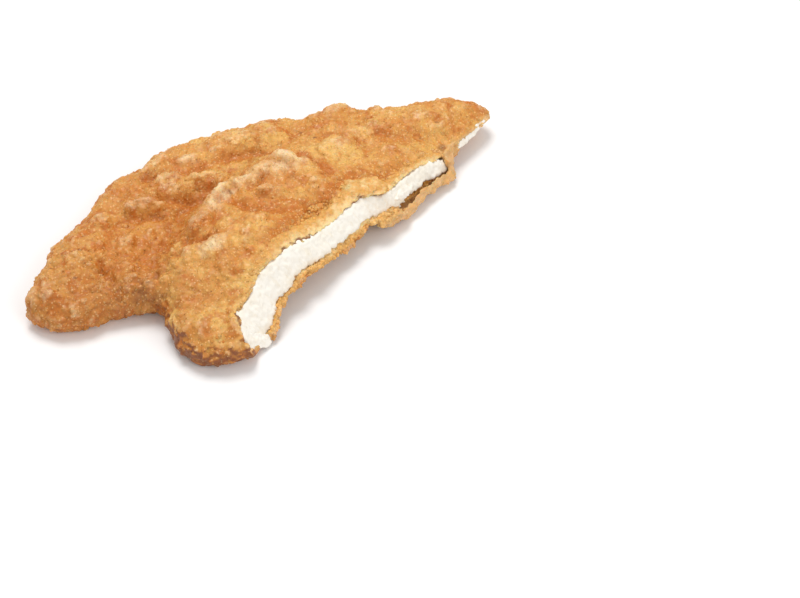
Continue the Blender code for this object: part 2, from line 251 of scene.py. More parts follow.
# The flap that wraps up round the meat's end: up, out, and its near and far side along the cut.
END_FLAP = [(-4.6, 1.2, 89.5, 93.0), (-2.0, 1.4, 91.4, 94.6), (0.8, 1.1, 92.4, 95.6), (3.6, 0.7, 93.0, 96.6), (6.2, -0.2, 93.2, 97.4)]


# ---------------------------------------------------------------------------------------------------
# Small tools
# ---------------------------------------------------------------------------------------------------


def deselect():
    if bpy.context.object and bpy.context.object.mode != "OBJECT":
        bpy.ops.object.mode_set(mode="OBJECT")
    bpy.ops.object.select_all(action="DESELECT")


def activate(piece):
    deselect()
    piece.select_set(True)
    bpy.context.view_layer.objects.active = piece
    return piece


def apply_modifiers(piece):
    activate(piece)
    for modifier in list(piece.modifiers):
        bpy.ops.object.modifier_apply(modifier=modifier.name)


def merged_copy(node, name):
    """A copy of a CAD node with its loose triangles merged."""
    original = frame["nodes"][node]
    mesh = original.data.copy()
    mesh.name = name
    mesh.transform(original.matrix_world)
    mesh.materials.clear()
    piece = bpy.data.objects.new(name, mesh)
    bpy.context.scene.collection.objects.link(piece)
    activate(piece)
    bpy.ops.object.mode_set(mode="EDIT")
    bpy.ops.mesh.select_all(action="SELECT")
    bpy.ops.mesh.remove_doubles(threshold=0.01 * MM)
    bpy.ops.object.mode_set(mode="OBJECT")
    return piece


def keep_behind(piece, point, direction):
    """Cuts off what lies past a plane and closes the cut."""
    activate(piece)
    bpy.ops.object.mode_set(mode="EDIT")
    bpy.ops.mesh.select_all(action="SELECT")
    bpy.ops.mesh.bisect(
        plane_co=tuple(point * MM), plane_no=tuple(direction), use_fill=True, clear_outer=True
    )
    bpy.ops.mesh.select_all(action="SELECT")
    bpy.ops.mesh.normals_make_consistent(inside=False)
    bpy.ops.object.mode_set(mode="OBJECT")


def fatten(piece, amount):
    activate(piece)
    bpy.ops.object.mode_set(mode="EDIT")
    bpy.ops.mesh.select_all(action="SELECT")
    bpy.ops.transform.shrink_fatten(value=amount * MM)
    bpy.ops.object.mode_set(mode="OBJECT")


def join(first, *others):
    activate(first)
    for other in others:
        other.select_set(True)
    bpy.ops.object.join()
    return first


def remesh(piece, voxel, smoothing):
    activate(piece)
    piece.data.remesh_voxel_size = voxel
    piece.data.remesh_voxel_adaptivity = 0.0
    bpy.ops.object.voxel_remesh()
    modifier = piece.modifiers.new("smooth", "SMOOTH")
    modifier.factor = 0.5
    modifier.iterations = smoothing
    apply_modifiers(piece)


def sheet(name, rows, thickness):
    """A thin closed sheet through rows of points, given in millimetres."""
    mesh = bpy.data.meshes.new(name)
    wide = len(rows[0])
    corners = [tuple(np.asarray(point) * MM) for row in rows for point in row]
    faces = [
        (i * wide + j, i * wide + j + 1, (i + 1) * wide + j + 1, (i + 1) * wide + j)
        for i in range(len(rows) - 1)
        for j in range(wide - 1)
    ]
    mesh.from_pydata(corners, [], faces)
    piece = bpy.data.objects.new(name, mesh)
    bpy.context.scene.collection.objects.link(piece)
    solid = piece.modifiers.new("solid", "SOLIDIFY")
    solid.thickness = thickness * MM
    solid.offset = 0.0
    apply_modifiers(piece)
    return piece


def points_of(piece):
    """The mesh's points, in millimetres."""
    co = np.empty(len(piece.data.vertices) * 3, np.float32)
    piece.data.vertices.foreach_get("co", co)
    return co.reshape(-1, 3).astype(float) / MM


def normals_of(piece):
    n = np.empty(len(piece.data.vertices) * 3, np.float32)
    piece.data.vertices.foreach_get("normal", n)
    return n.reshape(-1, 3).astype(float)


def set_points(piece, co):
    piece.data.vertices.foreach_set("co", (co * MM).astype(np.float32).ravel())
    piece.data.update()


def write_attribute(piece, name, values):
    attribute = piece.data.attributes.get(name) or piece.data.attributes.new(name, "FLOAT", "POINT")
    attribute.data.foreach_set("value", np.asarray(values).astype(np.float32))


def soften(piece, values, rounds):
    """Averages values over the mesh's neighbours, several times."""
    edges = np.empty(len(piece.data.edges) * 2, np.int32)
    piece.data.edges.foreach_get("vertices", edges)
    first, second = edges.reshape(-1, 2).T
    count = np.bincount(edges, minlength=len(values))
    for _ in range(rounds):
        total = np.bincount(first, values[second], len(values)) + np.bincount(second, values[first], len(values))
        values = 0.5 * values + 0.5 * total / np.maximum(count, 1)
    return values


def step(value, low, high):
    t = np.clip((value - low) / (high - low), 0.0, 1.0)
    return t * t * (3 - 2 * t)


def between(value, low, high, soft):
    return step(value, low - soft, low + soft) * (1 - step(value, high - soft, high + soft))


def fractal(co, size, octaves=3, seed=0.0):
    """Smooth noise from about -1 to 1, with features of the given size."""
    return np.array([noise.fractal(Vector(p), 0.6, 2.0, octaves) for p in co / size + seed])


def pebbles(co, size, seed=0):
    """Distances to the nearest and next nearest of scattered points, in units of the size."""
    places = co / size
    base = np.floor(places)
    first = np.full(len(co), 9.0)
    second = np.full(len(co), 9.0)
    for offset in itertools.product((-1, 0, 1), repeat=3):
        cell = base + offset
        mixed = cell @ np.array((12.9898, 78.233, 37.719)) + seed * 17.31
        jitter = np.stack([np.sin(mixed + k * 4.1) * (43758.5453 + k * 971.3) % 1.0 for k in range(3)], axis=1)
        distance = np.linalg.norm(places - cell - jitter, axis=1)
        second = np.minimum(second, np.maximum(first, distance))
        first = np.minimum(first, distance)
    return first, second


def domes(co, size, seed=0):
    """Rounded lumps from 0 to 1 with creases between them."""
    first, second = pebbles(co, size, seed)
    return step(second - first, 0.0, 0.45) * (1 - 0.5 * np.minimum(first, 1.0) ** 2)


def grains(co, size, seed=0):
    """Small round grains from 0 to 1 on a flat ground."""
    first, _ = pebbles(co, size, seed)
    return np.clip(1.0 - (first / 0.62) ** 2, 0.0, 1.0)


def cut_frame(co):
    """Along the cut, up its slope and out of its plane."""
    away = co - CUT_ORIGIN
    return away @ ALONG, away @ UPSLOPE, away @ OUTWARD


def on_cut(along, up, out):
    return CUT_ORIGIN + ALONG * along + UPSLOPE * up + OUTWARD * out


def tabled(at, rows, column=1):
    table = np.array(rows, float)
    return np.interp(at, table[:, 0], table[:, column])


def oval(co, x, y, long_radius, short_radius, turn):
    """Squared distance from the middle of an oval on the plan, 1 at its edge."""
    c, s = math.cos(math.radians(turn)), math.sin(math.radians(turn))
    dx, dy = co[:, 0] - x, co[:, 1] - y
    return ((dx * c + dy * s) / long_radius) ** 2 + ((dy * c - dx * s) / short_radius) ** 2


def line_distance(co, line):
    """Distance in plan from a line of points, signed by the side; how far along it, from 0 to 1."""
    plan = co[:, :2]
    line = np.array(line, float)
    best = np.full(len(co), 1e9)
    side = np.ones(len(co))
    share = np.zeros(len(co))
    lengths = np.linalg.norm(np.diff(line, axis=0), axis=1)
    before = np.concatenate([[0.0], np.cumsum(lengths)])
    for i, (a, b) in enumerate(zip(line[:-1], line[1:])):
        run = b - a
        t = np.clip(((plan - a) @ run) / (run @ run), 0.0, 1.0)
        away = plan - (a + t[:, None] * run)
        distance = np.linalg.norm(away, axis=1)
        nearer = distance < best
        best = np.where(nearer, distance, best)
        side = np.where(nearer, np.sign(run[0] * away[:, 1] - run[1] * away[:, 0]), side)
        share = np.where(nearer, (before[i] + t * lengths[i]) / before[-1], share)
    return best * side, share


# ---------------------------------------------------------------------------------------------------
# Properties
# ---------------------------------------------------------------------------------------------------


def length_property(name, description, default):
    return bpy.props.FloatProperty(
        name=name, description=description, default=default, min=0.0, precision=5, unit="LENGTH"
    )


def colour_property(name, description, default):
    return bpy.props.FloatVectorProperty(
        name=name, description=description, default=default, size=3, min=0.0, max=1.0, subtype="COLOR"
    )


class CrustProperties(bpy.types.PropertyGroup):
    voxel: length_property("Voxel", "Mesh size of the crust", 0.52 * MM)
    flank: length_property("Flank", "How much steeper the lobe falls behind its ridge", 2.1 * MM)
    lumps: length_property("Lumps", "Height of the batter's broad lumps", 0.8 * MM)
    bumps: length_property("Bumps", "Height of the bumps a few millimetres wide", 0.42 * MM)
    grain: length_property("Grain", "Height of the crumb grain", 0.2 * MM)
    gold: colour_property("Gold", "Colour of the evenly fried crumbs", (0.635, 0.256, 0.046))
    honey: colour_property("Honey", "Lighter yellow fried batter", (0.77, 0.435, 0.115))
    # Also the colour of painted shade in hollows, grooves, valleys and on rims that turn under.
    toast_and_shade: colour_property("Toast", "Orange brown, where it fried hardest", (0.55, 0.178, 0.022))
    # Also the colour of painted light on raised crests.
    flour_and_light: colour_property("Flour", "Pale floury crests", (0.93, 0.72, 0.44))
    cream: colour_property("Cream", "Inner batter on the torn edges", (0.90, 0.65, 0.31))
    tan: colour_property("Tan", "Thin batter that hangs loose below the meat", (0.66, 0.40, 0.18))
    # Also the colour of painted shade in cracks, gaps and the trench below the meat.
    char: colour_property("Char", "Deep gaps and burnt specks", (0.20, 0.06, 0.018))


class MeatProperties(bpy.types.PropertyGroup):
    voxel: length_property("Voxel", "Mesh size of the meat", 0.45 * MM)
    tear: length_property("Tear", "Depth of the torn fibres on the cut", 0.4 * MM)
    flesh: colour_property("Flesh", "Cooked white meat", (0.95, 0.90, 0.81))
    shade: colour_property("Shade", "Between the fibres", (0.86, 0.76, 0.60))


class CrumbProperties(bpy.types.PropertyGroup):
    share: bpy.props.FloatProperty(
        name="Share", description="How many of the crumbs are made", default=1.0, min=0.0, max=1.0
    )


class StageProperties(bpy.types.PropertyGroup):
    floor: colour_property("Floor", "Plain pale floor", (0.96, 0.96, 0.955))
    distance: length_property("Distance", "From the camera to what it looks at", 0.54)
    elevation: bpy.props.FloatProperty(
        name="Elevation",
        description="How steeply the camera looks down",
        default=math.radians(46.0),
        subtype="ANGLE",
    )
    lens: bpy.props.FloatProperty(
        name="Lens", description="Focal length in millimetres", default=85.0, min=1.0
    )


# ---------------------------------------------------------------------------------------------------
# Materials
# ---------------------------------------------------------------------------------------------------


class Shader:
    """A material that is built up node by node."""

    def __init__(self, name, roughness, subsurface=0.0, radius=(1.0, 0.5, 0.25), scale=0.001):
        self.material = bpy.data.materials.new(name)
        self.material.use_nodes = True
        self.tree = self.material.node_tree
        self.shader = self.tree.nodes["Principled BSDF"]
        self.shader.inputs["Roughness"].default_value = roughness
        self.shader.inputs["Specular IOR Level"].default_value = 0.4
        self.shader.inputs["Subsurface Weight"].default_value = subsurface
        self.shader.inputs["Subsurface Radius"].default_value = radius
        self.shader.inputs["Subsurface Scale"].default_value = scale
        self.coordinates = self.node("ShaderNodeTexCoord").outputs["Object"]

    def node(self, kind, **settings):
        made = self.tree.nodes.new(kind)
        for key, value in settings.items():
            setattr(made, key, value)
        return made

    def link(self, source, target):
        if isinstance(source, (int, float)):
            target.default_value = source
        elif isinstance(source, (tuple, list)):
            target.default_value = (*source, 1.0) if len(source) == 3 else source
        else:
            self.tree.links.new(source, target)

    def attribute(self, name):
        return self.node("ShaderNodeAttribute", attribute_name=name).outputs["Fac"]

    def moved(self, shift, stretch=(1.0, 1.0, 1.0), turn=0.0):
        if shift == 0.0 and stretch == (1.0, 1.0, 1.0) and turn == 0.0:
            return self.coordinates
        made = self.node("ShaderNodeMapping")
        made.inputs["Location"].default_value = (shift, shift * 0.7, shift * 1.3)
        made.inputs["Scale"].default_value = stretch
        made.inputs["Rotation"].default_value = (0.0, 0.0, turn)
        self.tree.links.new(self.coordinates, made.inputs["Vector"])
        return made.outputs["Vector"]

    def noise(self, size, detail=3.0, roughness=0.55, shift=0.0):
        made = self.node("ShaderNodeTexNoise")
        made.inputs["Scale"].default_value = 1.0 / size
        made.inputs["Detail"].default_value = detail
        made.inputs["Roughness"].default_value = roughness
        self.link(self.moved(shift), made.inputs["Vector"])
        return made.outputs["Fac"]

    def cells(self, size, shift=0.0, output="Distance"):
        made = self.node("ShaderNodeTexVoronoi")
        made.inputs["Scale"].default_value = 1.0 / size
        self.link(self.moved(shift), made.inputs["Vector"])
        return made.outputs[output]

    def math(self, operation, a, b=0.0, c=None, clamp=False):
        made = self.node("ShaderNodeMath", operation=operation, use_clamp=clamp)
        self.link(a, made.inputs[0])
        self.link(b, made.inputs[1])
        if c is not None:
            self.link(c, made.inputs[2])
        return made.outputs[0]

    def ramp(self, value, low, high, to_low=0.0, to_high=1.0):
        """A smooth change from to_low to to_high as the value goes from low to high."""
        made = self.node("ShaderNodeMapRange", interpolation_type="SMOOTHSTEP")
        self.link(value, made.inputs["Value"])
        for name, number in zip(("From Min", "From Max", "To Min", "To Max"), (low, high, to_low, to_high)):
            made.inputs[name].default_value = number
        return made.outputs["Result"]

    def mix(self, factor, a, b, blend="MIX"):
        made = self.node("ShaderNodeMix", data_type="RGBA", blend_type=blend)
        self.link(factor, made.inputs[0])
        self.link(a, made.inputs[6])
        self.link(b, made.inputs[7])
        return made.outputs[2]

    def gray(self, value):
        made = self.node("ShaderNodeCombineColor")
        for socket in made.inputs[:3]:
            self.link(value, socket)
        return made.outputs[0]

    def bump(self, height, depth, under=None):
        made = self.node("ShaderNodeBump")
        made.inputs["Distance"].default_value = depth
        made.inputs["Strength"].default_value = 1.0
        self.link(height, made.inputs["Height"])
        if under is not None:
            self.link(under, made.inputs["Normal"])
        return made.outputs["Normal"]

    def finish(self, colour, normal=None, roughness=None):
        self.link(colour, self.shader.inputs["Base Color"])
        if normal is not None:
            self.link(normal, self.shader.inputs["Normal"])
        if roughness is not None:
            self.link(roughness, self.shader.inputs["Roughness"])
        return self.material


def fried_colour(s, p):
    """The crust's colour from its broad patches and the painted attributes."""
    broad = s.ramp(s.noise(13 * MM, 2.0), 0.38, 0.62)
    small = s.ramp(s.noise(4.0 * MM, 3.0, 0.55, shift=0.3), 0.36, 0.66)
    honeyed = s.math("MULTIPLY_ADD", small, 0.5, s.math("MULTIPLY", broad, 0.5))
    honeyed = s.math("ADD", honeyed, s.math("MULTIPLY", s.attribute("honey"), 1.3), clamp=True)
    colour = s.mix(honeyed, tuple(p.gold), tuple(p.honey))
    toasted_spots = s.ramp(s.noise(5.0 * MM, 3.0, 0.6, shift=1.7), 0.48, 0.68, 0.0, 0.85)
    # Browner where toasted, and painted shade in hollows, grooves, valleys and on rims that turn under.
    darkened = s.math("ADD", s.attribute("toast_and_shade"), toasted_spots, clamp=True)
    colour = s.mix(darkened, colour, tuple(p.toast_and_shade))
    edge = s.math("MULTIPLY_ADD", s.noise(2.2 * MM, 4.0, 0.65, shift=2.9), 1.3, -0.65)
    # Paler where floury, and painted light on raised crests.
    floured_and_lit = s.ramp(s.math("ADD", s.attribute("flour_and_light"), edge), 0.1, 1.15, 0.0, 0.8)
    colour = s.mix(floured_and_lit, colour, tuple(p.flour_and_light))
    golden_rim = s.mix(0.6, tuple(p.gold), tuple(p.honey))
    torn = s.attribute("torn")
    wander = s.math("MULTIPLY_ADD", s.noise(1.5 * MM, 3.0, shift=7.1), 1.1, -0.5)
    inner = s.mix(s.ramp(s.math("ADD", torn, wander), 0.0, 0.8), tuple(p.cream), golden_rim)
    frayed = s.math("ADD", torn, s.math("MULTIPLY_ADD", s.noise(2.0 * MM, 2.0, shift=8.3), 0.5, -0.25))
    share = s.math("MULTIPLY", s.attribute("creamy"), s.ramp(frayed, 1.0, 1.12, 1.0, 0.0))
    colour = s.mix(share, colour, inner)
    mottled = s.ramp(s.noise(2.5 * MM, 3.0, shift=5.2), 0.35, 0.65, 0.45, 1.0)
    colour = s.mix(s.math("MULTIPLY", s.attribute("loose"), mottled), colour, tuple(p.tan))
    # Darkest where charred, and painted shade in cracks, gaps and the trench below the meat.
    return s.mix(s.attribute("char"), colour, tuple(p.char))


def crust_material(p):
    s = Shader("fried_crumb_crust", 0.5, subsurface=0.4, scale=1.2 * MM)
    colour = fried_colour(s, p)
    tone = s.math("MULTIPLY_ADD", s.cells(0.9 * MM, output="Color"), 0.2, 0.92)
    colour = s.mix(1.0, colour, s.gray(tone), "MULTIPLY")
    glint = s.math("MULTIPLY", s.ramp(s.cells(1.3 * MM, shift=2.3), 0.12, 0.3, 1.0, 0.0), s.attribute("crumby"))
    colour = s.mix(s.math("MULTIPLY", glint, 0.45), colour, (0.95, 0.66, 0.3))
    fleck = s.math("LESS_THAN", s.cells(4.5 * MM, shift=4.1), 0.045)
    colour = s.mix(s.math("MULTIPLY", fleck, 0.6), colour, (0.16, 0.05, 0.015))
    normal = s.bump(s.ramp(s.cells(0.95 * MM), 0.0, 0.6, 1.0, 0.0), 0.12 * MM)
    roughness = s.ramp(s.noise(3.0 * MM, 3.0, shift=6.0), 0.3, 0.7, 0.38, 0.6)
    return s.finish(colour, normal, roughness)


def crumb_material(p, name, tint, roughness):
    """A crumb's own shade over the colour of the crust round it."""
    s = Shader(name, roughness)
    colour = s.mix(tint[3], fried_colour(s, p), tint[:3])
    tone = s.math("MULTIPLY_ADD", s.attribute("shade"), 0.45, 0.78)
    colour = s.mix(1.0, colour, s.gray(tone), "MULTIPLY")
    normal = s.bump(s.noise(0.5 * MM, 1.0, 0.5), 0.02 * MM)
    return s.finish(colour, normal)


def meat_material(p):
    s = Shader("white_meat", 0.5)
    turn = -math.atan2(UPSLOPE[1], UPSLOPE[0])
    fibres = s.node("ShaderNodeTexNoise")
    fibres.inputs["Scale"].default_value = 1.0 / (1.1 * MM)
    fibres.inputs["Detail"].default_value = 4.0
    s.link(s.moved(0.0, (0.3, 1.0, 0.3), turn), fibres.inputs["Vector"])
    gaps = s.ramp(fibres.outputs["Fac"], 0.3, 0.5, 0.45, 0.0)
    patch = s.ramp(s.noise(5 * MM, 3.0), 0.4, 0.7, 0.0, 0.3)
    colour = s.mix(s.math("ADD", gaps, patch, clamp=True), tuple(p.flesh), tuple(p.shade))
    colour = s.mix(s.math("MULTIPLY", s.attribute("warm"), 0.6), colour, tuple(p.shade))
    normal = s.bump(fibres.outputs["Fac"], 0.2 * MM)
    return s.finish(colour, normal)


def plain_material(name, colour, roughness):
    s = Shader(name, roughness)
    soft = s.mix(s.ramp(s.noise(0.4, 2.0), 0.3, 0.7, 0.0, 0.03), tuple(colour), (0.8, 0.8, 0.79))
    return s.finish(soft)


# ---------------------------------------------------------------------------------------------------
# Shape shared by the crust and the meat
# ---------------------------------------------------------------------------------------------------


def main_forms(piece, flank):
    """Moves points to the batter's larger lumps, ridge and grooves, and to the cut's sag and lift."""
    co = points_of(piece)
    upper = step(soften(piece, normals_of(piece)[:, 2], 24), 0.0, 0.5)
    distance, share = line_distance(co, CREST)
    ends = step(share, 0.0, 0.07) * (1 - step(share, 0.88, 1.0))
    behind_ridge = step(distance, 0.2, 3.6) * (1 - step(distance, 6.0, 15.0))
    chain = 0.7 + 1.6 * (domes(co * (1.0, 1.0, 0.3), 6.5, 7) - 0.4)
    ridge = 0.85 * chain * np.exp(-(((distance + 3.4) / 4.8) ** 2))
    height = (ridge - flank * behind_ridge) * ends
    for x, y, long_radius, short_radius, turn, rise, _, _ in LUMPS:
        height += 1.7 * rise * np.clip(1.0 - oval(co, x, y, long_radius, short_radius, turn), 0.0, 1.0) ** 0.7
    for radius, depth, _, line in GROOVES:
        height -= 1.15 * depth * np.exp(-((line_distance(co, line)[0] / radius) ** 2))
    along, up, out = cut_frame(co)
    calm = step(-out, 1.5, 5.0)
    moved = co + np.array((0.0, 0.0, 1.0)) * (height * upper * calm)[:, None]
    front_sag = 2.0 * np.exp(-(((along - 7.0) / 5.5) ** 2)) * (1 - step(up, 1.0, 6.0)) * step(out, -7.0, -1.0)
    torn_sag = 1.3 * np.exp(-(((along - 46.0) / 7.0) ** 2)) * (1 - step(up, 1.2, 3.2)) * step(out, -3.0, -0.5)
    end_sag = 2.4 * step(along, 78.0, 90.0) * (1 - step(along, 94.0, 104.0)) * step(up, 1.0, 5.0) * step(out, -10.0, -2.0)
    tip_lift = 4.0 * step(along, 93.0, 101.0) * (1 - step(up, -2.5, 5.0)) * step(out, -20.0, -5.0)
    tip_drop = 1.6 * step(along, 103.0, 112.0) * step(up, 0.0, 4.0)
    near_cut = step(out, -9.0, -1.5)
    droop = tabled(along, DROOP) * step(up, 6.0, 9.5) * near_cut
    lifted = tabled(along, FOOT_LIFT) * (1 - step(up, 2.0, 6.5)) * near_cut
    end_pull = 2.2 * step(along, 80.0, 92.0) * (1 - step(along, 94.0, 104.0)) * near_cut * (1 - step(up, 6.0, 10.0))
    moved += UPSLOPE * (tip_lift + lifted - tip_drop - front_sag - torn_sag - end_sag - droop)[:, None]
    moved -= ALONG * end_pull[:, None]
    moved[:, 0] += 2.0 * np.exp(-oval(co, -67.0, -23.0, 11.0, 9.0, 70))
    return moved


# ---------------------------------------------------------------------------------------------------
# The crust
# ---------------------------------------------------------------------------------------------------


def crust_body(p):
    """The coat's outside, filled but for a pocket behind the cut, with its loose strip and end flap."""
    crust = merged_copy("breadcrumb_coat", "crumb_crust")
    filler = merged_copy("chicken_breast", "filler")
    keep_behind(filler, CUT_ORIGIN - OUTWARD * POCKET_DEPTH, OUTWARD)
    fatten(filler, 0.7)
    tip = merged_copy("chicken_breast", "tip")
    keep_behind(tip, CUT_ORIGIN + ALONG * FLAP_START, -ALONG)
    fatten(tip, 0.6)
    strip_rows = [
        (
            on_cut(along, fold_up + 0.3, -1.2),
            on_cut(along, fold_up - 0.1, fold_out - 0.4),
            on_cut(along, fold_up + 0.5, fold_out + 0.1),
            on_cut(along, lip_up, lip_out),
        )
        for along, lip_up, lip_out, fold_up, fold_out in LOOSE_STRIP
    ]
    strip = sheet("strip", strip_rows, 1.0)
    flap_rows = [
        (on_cut(near, up, out), on_cut((near + far) / 2, up, out + 0.4), on_cut(far, up, out))
        for up, out, near, far in END_FLAP
    ]
    flap = sheet("flap", flap_rows, 1.1)
    join(crust, filler, tip, strip, flap)
    remesh(crust, p.voxel, 3)
    return crust


def exposed_meat(meat):
    """A search tree of the meat's points that show on the cut."""
    co = points_of(meat)
    along, up, out = cut_frame(co)
    shown = co[(out > -1.0) & (along < MEAT_END)]
    tree = kdtree.KDTree(len(shown))
    for i, point in enumerate(shown):
        tree.insert(point, i)
    tree.balance()
    return tree


def torn_zone(co, tree):
    """Distance from the shown meat and the share of the torn edge's width that it makes."""
    along, up, out = cut_frame(co)
    distance = np.full(len(co), 99.0)
    near = (out > -9.0) & (along > -16)
    distance[near] = [tree.find(point)[2] for point in co[near]]
    tip = along > FLAP_START
    distance[tip] = np.maximum(0.0, np.abs(up[tip] - 2.6) - 0.9) + np.maximum(0.0, -0.9 - out[tip])
    width = tabled(along, TORN_EDGE, 1)
    below = up < tabled(along, MEAT_FOOT) + 1.0
    width = np.where(below & ~tip, 0.45 * width, width)
    ragged = 0.22 * fractal(co, 1.8, 2, 6.0) + 0.2 * fractal(co, 5.0, 2, 8.0)
    return distance, distance / width + ragged * step(distance, 0.4, 1.5)


def crust_relief(crust, p, tree):
    co = main_forms(crust, p.flank / MM)
    set_points(crust, co)
    normals = normals_of(crust)
    along, up, out = cut_frame(co)
    distance, torn = torn_zone(co, tree)
    smooth_torn = tabled(along, TORN_EDGE, 2) * (1 - step(torn, 0.7, 1.1))
    loose = loose_share(along, up, out)
    calm = 1 - np.maximum(0.85 * smooth_torn, 0.45 * loose)
    warped = co + 1.8 * np.stack([fractal(co, 6.0, 2, k * 5.0) for k in (1, 2, 3)], axis=1)
    height = p.lumps / MM * (domes(warped, 8.5, 1) - 0.45 + 0.6 * fractal(co, 12.0, 2, 2.0))
    crumbly = 1.0 + 1.3 * np.exp(-oval(co, -40.0, -26.0, 24.0, 14.0, 0)) + 0.5 * np.exp(-oval(co, 48.0, 40.0, 14.0, 9.0, 30))
    height += crumbly * p.bumps / MM * (domes(warped, 3.0, 2) - 0.45 + 0.3 * fractal(co, 2.8, 2, 3.0))
    rim = between(torn, 0.85, 1.3, 0.12) * tabled(along, TORN_EDGE, 2)
    layers = smooth_torn * (0.35 * fractal(co, 1.4, 2, 28.0) + 0.4 * between(torn, 0.42, 0.62, 0.06))
    height = height * calm + 0.45 * rim * domes(co, 1.6, 4) + layers + 0.5 * loose * fractal(co, 2.4, 2, 29.0)
    ragged = 1.2 * fractal(co, 2.5, 2, 27.0)
    flake = between(along + ragged, *FLAKE, 0.6) * between(torn + 0.1 * ragged, 0.12, 1.55, 0.08)
    opening = sum(between(along, start, end, 1.2) for start, end in OPEN_LINES)
    above = step(up, tabled(along, MEAT_FOOT) + 2.0, tabled(along, MEAT_FOOT) + 4.0)
    opening = opening * above * (1 - step(distance, 0.45, 0.8)) * step(fractal(co, 3.0, 2, 26.0), -0.35, -0.1)
    foot = tabled(along, MEAT_FOOT)
    hem = between(up, foot - 4.0, foot - 0.2, 0.5) * step(out, -2.5, -0.8) * between(along, 2.0, 60.0, 3.0)
    hem = hem * (0.9 + 0.9 * fractal(co, 3.5, 2, 21.0))
    co = co + normals * height[:, None] + OUTWARD * (1.5 * flake + hem - 0.4 * opening)[:, None]
    set_points(crust, co)
    smoothed = np.stack([soften(crust, co[:, k], 150) for k in range(3)], axis=1)
    normals = normals_of(crust)
    relief = ((co - smoothed) * normals).sum(axis=1)
    sand = grains(co, 1.7, 5) + 0.6 * grains(co, 1.1, 6) + 0.25 * fractal(co, 1.0, 2, 30.0)
    bare = np.maximum(smooth_torn, 0.6 * loose)
    co = co + normals * (p.grain / MM * (sand - 0.4) * (1 - 0.7 * bare))[:, None]
    co[:, 2] = np.maximum(co[:, 2], 0.1 + CAD_LOW.z / MM)
    set_points(crust, co)
    return relief, opening, flake


def loose_share(along, up, out):
    """Where the coat is the loose strip or the flap that wraps the meat's end."""
    strip = between(along, 56.0, 93.0, 1.5) * step(out, 0.5, 1.0) * (1 - step(up, -0.6, 1.4))
    flap = between(along, 90.5, 96.8, 0.8) * step(out, -0.6, 0.3) * (1 - step(up, 4.5, 6.5))
    return np.maximum(strip, flap)


